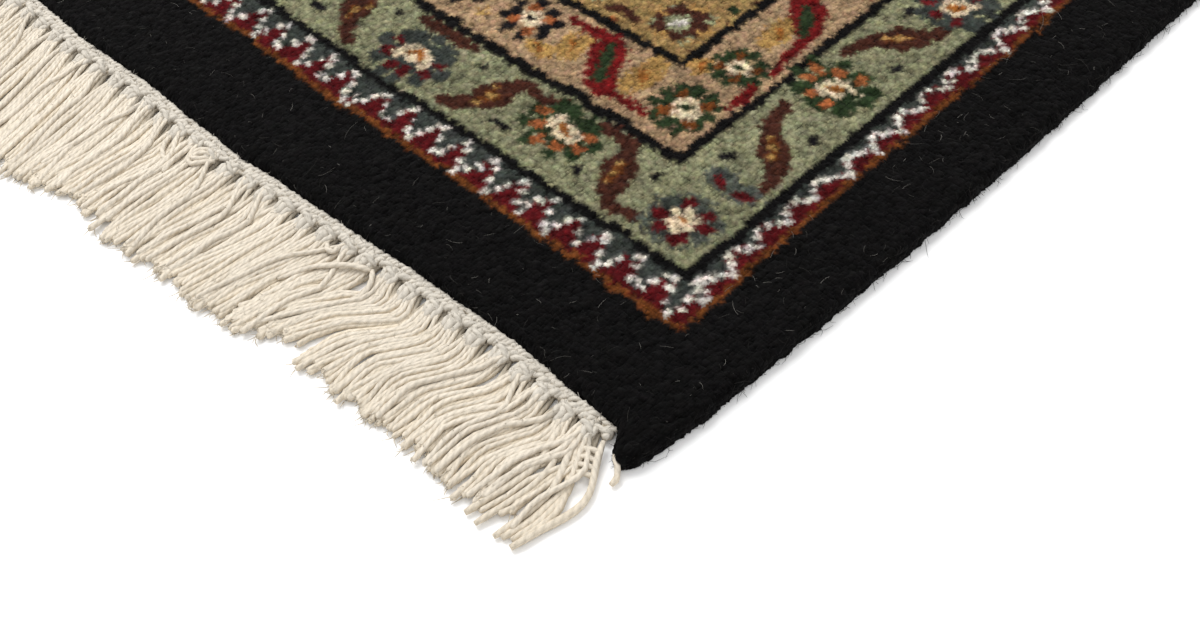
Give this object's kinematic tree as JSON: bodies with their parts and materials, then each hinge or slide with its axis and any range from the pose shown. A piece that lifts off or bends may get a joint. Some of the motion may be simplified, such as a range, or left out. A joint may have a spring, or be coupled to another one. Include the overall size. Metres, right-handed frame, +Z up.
{
  "type": "oriental wool rug",
  "caption": "Small hand-knotted wool rug lying flat, with flowered borders, a wide black edge and a knotted cotton fringe at both short ends.",
  "frame": {"origin": "under the middle of the rug, on the floor that it lies on", "axes": "+Y along the rug from the front fringe to the back one, +X across it, +Z up out of the pile"},
  "size_m": [0.6, 1.0852, 0.01],
  "materials": {
    "wool_pile": "dense cut wool pile, matte, patterned",
    "cotton_fringe": "soft undyed cotton yarn, matte"
  },
  "bodies": {
    "root": {"rug_pile": "wool_pile", "fringe_front": "cotton_fringe", "fringe_back": "cotton_fringe"}
  },
  "joints": []
}
